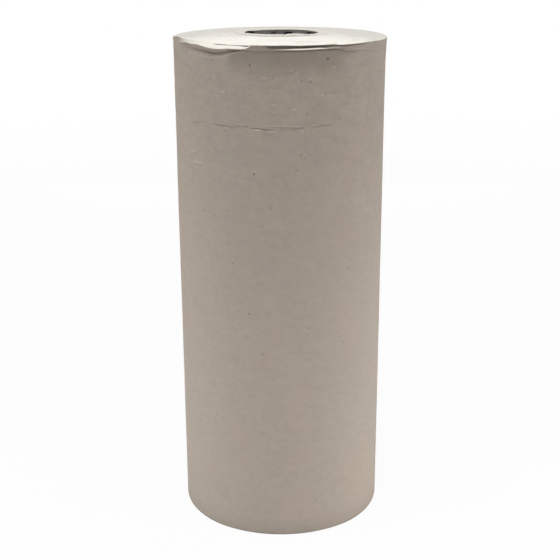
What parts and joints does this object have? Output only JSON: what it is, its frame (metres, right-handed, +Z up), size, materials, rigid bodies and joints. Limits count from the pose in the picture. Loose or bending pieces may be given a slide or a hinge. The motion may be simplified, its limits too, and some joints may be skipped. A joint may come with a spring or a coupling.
{
  "type": "newsprint paper roll",
  "caption": "Large roll of plain newsprint wound on a board core, standing on one end, for wrapping, void fill or drawing.",
  "frame": {"origin": "at the middle of the round outside, at the height of the surface that the roll stands on", "axes": "+Z up along the roll, -Y towards the side with the knocked rim, +X to the right as seen from there"},
  "size_m": [0.2196, 0.2208, 0.5278],
  "materials": {
    "newsprint": "uncoated, matt, warm grey",
    "core_board": "raw grey board, matt"
  },
  "bodies": {
    "root": {"core_tube": "core_board", "paper_turns": "newsprint"}
  },
  "joints": []
}
